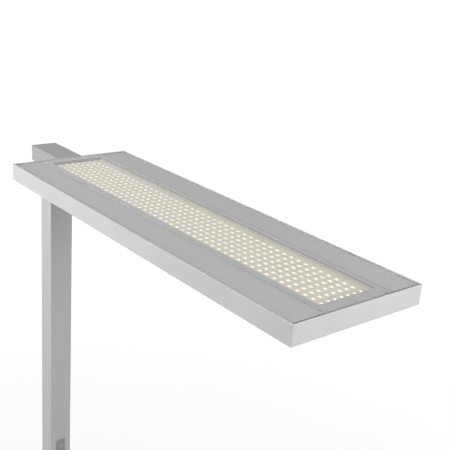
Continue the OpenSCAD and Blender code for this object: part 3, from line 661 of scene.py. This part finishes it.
def board_piece(name, low, high, edge, material):
    """A flat circuit board with routed, slightly rounded edges."""
    shape = bmesh.new()
    bmesh.ops.create_cube(shape, size=1.0)
    size = high - low
    middle = (low + high) / 2
    for vert in shape.verts:
        vert.co = Vector([middle[k] + vert.co[k] * size[k] for k in range(3)])
    bmesh.ops.bevel(
        shape, geom=list(shape.edges), offset=edge, segments=2, affect="EDGES", profile=0.5
    )
    mesh = bpy.data.meshes.new(name)
    shape.to_mesh(mesh)
    shape.free()
    mesh.materials.append(material)
    return add_piece(name, mesh)


# ---------------------------------------------------------------- operators


def dress(material, *names):
    """Gives the named CAD parts this finish."""
    for name in names:
        for slot in NODES[name].material_slots:
            slot.material = material


class LAMP_OT_coat_body(Operator):
    """Coats the head's frame, the arm, the pole and the base plate"""

    bl_idname = "lamp.coat_body"
    bl_label = "Coat frame, arm and pole"

    def execute(self, context):
        colours = context.scene.lamp_colours
        frame_coat = silver_powder_coat("silver_powder_coat_frame", colours.frame)
        pole_coat = silver_powder_coat("silver_powder_coat_pole", colours.pole)
        arm_coat = silver_powder_coat("silver_powder_coat_arm", colours.arm)
        base_coat = silver_powder_coat("silver_powder_coat_base", colours.pole, scuffs=0.12)
        dress(frame_coat, "rim_front", "rim_back", "rim_left", "rim_right")
        dress(pole_coat, "pole_tube")
        dress(arm_coat, "arm_cover", "arm_end_cap")
        dress(base_coat, "base_plate")
        return {"FINISHED"}


class LAMP_OT_coat_plates(Operator):
    """Coats the top and bottom cover plates and the tray under the window"""

    bl_idname = "lamp.coat_plates"
    bl_label = "Coat cover plates and tray"

    def execute(self, context):
        colours = context.scene.lamp_colours
        spill = context.scene.lamp_studio.wall_spill
        glow = colours.glow
        # the plates' cut edges get a painted shade, 0.15 of their colour, for the shadow in the
        # gaps and window recess
        plates = matt_coil_coat("matt_coil_coat_plates_painted_edge_shade", colours.plates, painted_edge_shade=0.15)
        # the tray's darker grey is a painted shade for the dim recess under the window
        tray = matt_coil_coat("matt_coil_coat_tray_painted_shade", colours.tray, glow=glow, spill=spill)
        dress(plates, "top_plate", "bottom_plate")
        dress(tray, "led_tray")
        return {"FINISHED"}


class LAMP_OT_glaze(Operator):
    """Makes the clear sheet over the light window and the diffuser underneath"""

    bl_idname = "lamp.glaze"
    bl_label = "Glaze window and diffuser"

    def execute(self, context):
        glow = context.scene.lamp_colours.glow
        strength = context.scene.lamp_studio.diffuser_glow
        milky = hex_colour("F1F1EE")
        clear = cast_acrylic("cast_clear_acrylic", hex_colour("FEFEFE"), hex_colour("BCBEBE"))
        opal = prismatic_opal_acrylic("prismatic_opal_acrylic", milky, glow, strength)
        dress(clear, "window_sheet")
        dress(opal, "diffuser")
        return {"FINISHED"}


def led_finishes(suffix, strength):
    """The finishes of an LED package: housing, dome and solder."""
    glow = bpy.context.scene.lamp_colours.glow
    ppa = hex_colour("F3F0E6")
    return (
        moulded_plastic("white_ppa_housing" + suffix, ppa, roughness=0.4, grain_size=0.2 * MM),
        phosphor_silicone("phosphor_silicone" + suffix, glow, strength),
        tin_solder("tin_solder" + suffix, hex_colour("C9CBCD")),
    )


class LAMP_OT_fit_uplight(Operator):
    """Fits the LED board and its packages under the window"""

    bl_idname = "lamp.fit_uplight"
    bl_label = "Fit uplight"

    def execute(self, context):
        colours = context.scene.lamp_colours
        sizes = context.scene.lamp_sizes
        studio = context.scene.lamp_studio
        step_x = (LED_HIGH.x - LED_LOW.x - sizes.side) / (sizes.columns - 1)
        step_y = (LED_HIGH.y - LED_LOW.y - sizes.side) / (sizes.rows - 1)
        mask = white_solder_mask(
            "white_solder_mask",
            colours.board,
            colours.glow,
            studio.spill,
            pitches=(step_x, step_y),
            centre_x=(LED_LOW.x + LED_HIGH.x) / 2,
            half_w=step_y * sizes.rows / 2,
        )
        dress(mask, "uplight_board")
        first_x = LED_LOW.x + sizes.side / 2
        first_y = LED_LOW.y + sizes.side / 2
        places = [
            (first_x + i * step_x, first_y + j * step_y)
            for i in range(sizes.columns)
            for j in range(sizes.rows)
        ]
        finishes = led_finishes("_up", studio.led_strength)
        height = LED_HIGH.z - LED_LOW.z
        packages = led_piece(
            "uplight_led_packages", places, LED_LOW.z, STANDING, height, finishes
        )
        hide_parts("uplight_leds")
        return {"FINISHED"}


class LAMP_OT_fit_underside(Operator):
    """Finishes the reflector and fits the LED strips behind the diffuser"""

    bl_idname = "lamp.fit_underside"
    bl_label = "Fit underside"

    def execute(self, context):
        colours = context.scene.lamp_colours
        studio = context.scene.lamp_studio
        pitch = context.scene.lamp_sizes.strip_pitch
        lacquer = moulded_plastic(
            "white_lacquered_sheet", hex_colour("F4F4F1"), roughness=0.4, grain_size=0.8 * MM
        )
        dress(lacquer, "reflector")
        finishes = led_finishes("_down", studio.direct_strength)
        height = LED_HIGH.z - LED_LOW.z
        low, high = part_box(STRIPS[0])
        middle = (low.x + high.x) / 2
        track_pitch = 4 * MM
        routed_edge = 0.15 * MM
        mask = white_solder_mask(
            "white_strip_mask",
            colours.board,
            colours.glow,
            studio.direct_spill,
            pitches=(pitch, track_pitch),
            centre_x=middle,
            half_w=1.0,  # all over
        )
        count = int((high.x - low.x - pitch) / pitch) + 1
        for name in STRIPS:
            low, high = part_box(name)
            face = low.z + height
            number = name[-1]
            board_low = Vector((low.x, low.y, face))
            board = board_piece("direct_strip_board_" + number, board_low, high, routed_edge, mask)
            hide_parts(name)
            row_y = (low.y + high.y) / 2
            places = [(middle + (k - (count - 1) / 2) * pitch, row_y) for k in range(count)]
            packages = led_piece(
                "direct_strip_packages_" + number, places, face, HANGING, height, finishes
            )
        return {"FINISHED"}


class LAMP_OT_finish_metalwork(Operator):
    """Finishes the blocks, beam, cleats and screws"""

    bl_idname = "lamp.finish_metalwork"
    bl_label = "Finish metalwork"

    def execute(self, context):
        bright = hex_colour("D9DADB")
        blocks = mill_aluminium("sawn_aluminium_block", bright, along="Z")
        bars = mill_aluminium("extruded_aluminium_bar", bright, along="Y")
        zinc = zinc_plated_steel("zinc_plated_steel", hex_colour("DADFE3"))
        cleats = ["corner_cleat_" + str(k) for k in (1, 2, 3, 4)]
        dress(blocks, "pole_foot", "pole_top_plug", "neck_block")
        dress(bars, "end_beam", *cleats)
        dress(zinc, "foot_screws", "pole_foot_screws", "pole_bolts", "head_bolts")
        dress(zinc, "arm_cover_screws", "cleat_screws", "window_screws")
        dress(zinc, "top_plate_screws", "bottom_plate_screws")
        return {"FINISHED"}


class LAMP_OT_finish_wiring(Operator):
    """Finishes the cable, leads, terminal blocks, drivers and grommet"""

    bl_idname = "lamp.finish_wiring"
    bl_label = "Finish wiring"

    def execute(self, context):
        pvc = {"roughness": 0.5, "grain_size": 1.5 * MM}
        nylon = moulded_plastic("moulded_white_nylon", hex_colour("E9E8E2"), roughness=0.45)
        sheath = moulded_plastic("extruded_black_pvc", hex_colour("26272A"), **pvc)
        lead = moulded_plastic("extruded_white_pvc", hex_colour("E4E4E0"), **pvc)
        rubber = moulded_rubber("moulded_epdm_rubber", hex_colour("2A2A2B"), pores=0.8 * MM)
        dress(nylon, "pole_terminal", "head_terminal", "driver_up", "driver_down")
        dress(sheath, "pole_cable")
        dress(lead, "head_lead_front", "head_lead_back")
        dress(rubber, "cable_grommet")
        return {"FINISHED"}


class LAMP_OT_finish_dimmer(Operator):
    """Finishes the dimmer's bezel, button, switch and board"""

    bl_idname = "lamp.finish_dimmer"
    bl_label = "Finish dimmer"

    def execute(self, context):
        bezel = moulded_plastic("silver_painted_abs", hex_colour("B4B5B7"), roughness=0.42)
        button = moulded_plastic("satin_silver_abs", hex_colour("C6C7C9"), roughness=0.3)
        black = moulded_plastic("moulded_black_nylon", hex_colour("1F2022"), roughness=0.5)
        epoxy = glass_epoxy("green_glass_epoxy", hex_colour("2F6B4A"))
        dress(bezel, "control_bezel")
        dress(button, "dimmer_button")
        dress(black, "button_switch")
        dress(epoxy, "control_board")
        return {"FINISHED"}


class LAMP_OT_finish_foot(Operator):
    """Finishes the mat under the base plate"""

    bl_idname = "lamp.finish_foot"
    bl_label = "Finish foot"

    def execute(self, context):
        foam = moulded_rubber("foam_rubber_sheet", hex_colour("3A3B3C"), pores=1.2 * MM)
        dress(foam, "base_mat")
        return {"FINISHED"}


def soft_light(name, place, target, width, height, watts):
    """A soft rectangular light that faces a point and isn't seen itself."""
    data = bpy.data.lights.new(name, "AREA")
    data.shape = "RECTANGLE"
    data.size = width
    data.size_y = height
    data.energy = watts
    light = bpy.data.objects.new(name, data)
    light.location = place
    aim = Vector(target) - Vector(place)
    light.rotation_euler = aim.to_track_quat("-Z", "Y").to_euler()
    light.visible_camera = False
    bpy.context.scene.collection.objects.link(light)


def studio_floor(reach, albedo, lift, far_lift):
    """A pale floor that reads white to the camera and keeps the lamp's shadow. Its lift
    grows from 1 m to 4 m away from the lamp, where less light falls on it."""
    mesh = bpy.data.meshes.new("studio_floor")
    corners = [(-reach, -reach, 0), (reach, -reach, 0), (reach, reach, 0), (-reach, reach, 0)]
    mesh.from_pydata(corners, [], [(0, 1, 2, 3)])
    floor = bpy.data.objects.new("studio_floor", mesh)
    bpy.context.scene.collection.objects.link(floor)
    material, tree, place = new_material("matt_white_floor")
    cloud = add_node(tree, "TexNoise", blotches(place, 400 * MM, detail=3.0))
    away = add_node(tree, "VectorMath", (place,), operation="LENGTH")
    raised = add_node(tree, "MapRange", (away, 1.0, 4.0, lift, far_lift))
    grey = [albedo] * 3
    surface = {
        "Base Color": between(tree, cloud, *NOISE_ENDS, shade(grey, 0.99), shade(grey, 1.01)),
        "Roughness": 0.9,
        "Specular IOR Level": 0.0,
        "Emission Color": WHITE,
        "Emission Strength": add_node(
            tree, "Math", (seen_rays(tree), raised), operation="MULTIPLY"
        ),
    }
    mesh.materials.append(finished(material, surface))


def studio_world(overhead, light_share):
    """A studio that is white at the horizon and greyer overhead. It lights the lamp with a
    share of what the camera sees."""
    world = bpy.data.worlds.new("soft_studio")
    world.use_nodes = True
    tree = world.node_tree
    tree.nodes.clear()
    towards = add_node(tree, "TexCoord", output="Generated")
    height = add_node(tree, "SeparateXYZ", (towards,), "Z")
    # white at the horizon, and grey from 14 degrees above it
    colour = between(tree, height, 0.02, 0.24, WHITE, shade([overhead] * 3))
    strength = add_node(tree, "MapRange", (seen_rays(tree), 0.0, 1.0, light_share, 1.0))
    sky = add_node(tree, "Background", {"Color": colour, "Strength": strength})
    add_node(tree, "OutputWorld", {"Surface": sky})
    bpy.context.scene.world = world


# Each soft light's name, place, target, width, height and watts
SOFT_LIGHTS = (
    ("key_light", (-0.1, -1.6, 2.32), (0.2, 0.0, 1.95), 1.2, 0.55, 20.6),
    ("end_light", (2.35, 0.45, 2.38), (1.02, 0.0, 1.92), 0.7, 0.4, 17.0),
    ("top_light", (-0.4, 0.2, 4.2), (-0.4, 0.0, 1.9), 2.2, 1.6, 9.6),
)


class LAMP_OT_build_studio(Operator):
    """Builds the floor, the lights and the camera"""

    bl_idname = "lamp.build_studio"
    bl_label = "Build studio"

    def execute(self, context):
        studio = context.scene.lamp_studio
        scene = context.scene
        studio_floor(reach=60.0, albedo=0.65, lift=0.68, far_lift=0.92)
        studio_world(overhead=0.68, light_share=0.275)
        for light in SOFT_LIGHTS:
            soft_light(*light)
        data = bpy.data.cameras.new("camera")
        data.lens = studio.focal_length
        data.sensor_width = 36
        data.clip_end = 200
        camera = bpy.data.objects.new("camera", data)
        camera.location = studio.camera_place
        camera.rotation_euler = Euler(studio.camera_turn)
        scene.collection.objects.link(camera)
        scene.camera = camera
        scene.view_settings.view_transform = "Standard"
        return {"FINISHED"}


class LAMP_PT_panel(Panel):
    """Lists the steps and settings in the sidebar"""

    bl_idname = "LAMP_PT_panel"
    bl_label = "Floor lamp"
    bl_space_type = "VIEW_3D"
    bl_region_type = "UI"
    bl_category = "Floor lamp"

    def draw(self, context):
        scene = context.scene
        for step in STEPS:
            self.layout.operator(step.bl_idname)
        for group in (scene.lamp_sizes, scene.lamp_colours, scene.lamp_studio):
            for name in group.__annotations__:
                self.layout.prop(group, name)


GROUPS = (LampSizes, LampColours, LampStudio)
STEPS = (
    LAMP_OT_build_studio,
    LAMP_OT_coat_body,
    LAMP_OT_coat_plates,
    LAMP_OT_glaze,
    LAMP_OT_fit_uplight,
    LAMP_OT_fit_underside,
    LAMP_OT_finish_metalwork,
    LAMP_OT_finish_wiring,
    LAMP_OT_finish_dimmer,
    LAMP_OT_finish_foot,
)


def register():
    for item in (*GROUPS, *STEPS, LAMP_PT_panel):
        bpy.utils.register_class(item)
    bpy.types.Scene.lamp_sizes = PointerProperty(type=LampSizes)
    bpy.types.Scene.lamp_colours = PointerProperty(type=LampColours)
    bpy.types.Scene.lamp_studio = PointerProperty(type=LampStudio)


def unregister():
    del bpy.types.Scene.lamp_studio
    del bpy.types.Scene.lamp_colours
    del bpy.types.Scene.lamp_sizes
    for item in reversed((*GROUPS, *STEPS, LAMP_PT_panel)):
        bpy.utils.unregister_class(item)


def main():
    register()
    for step in STEPS:
        group, name = step.bl_idname.split(".")
        getattr(getattr(bpy.ops, group), name)()


if __name__ == "__main__":
    main()
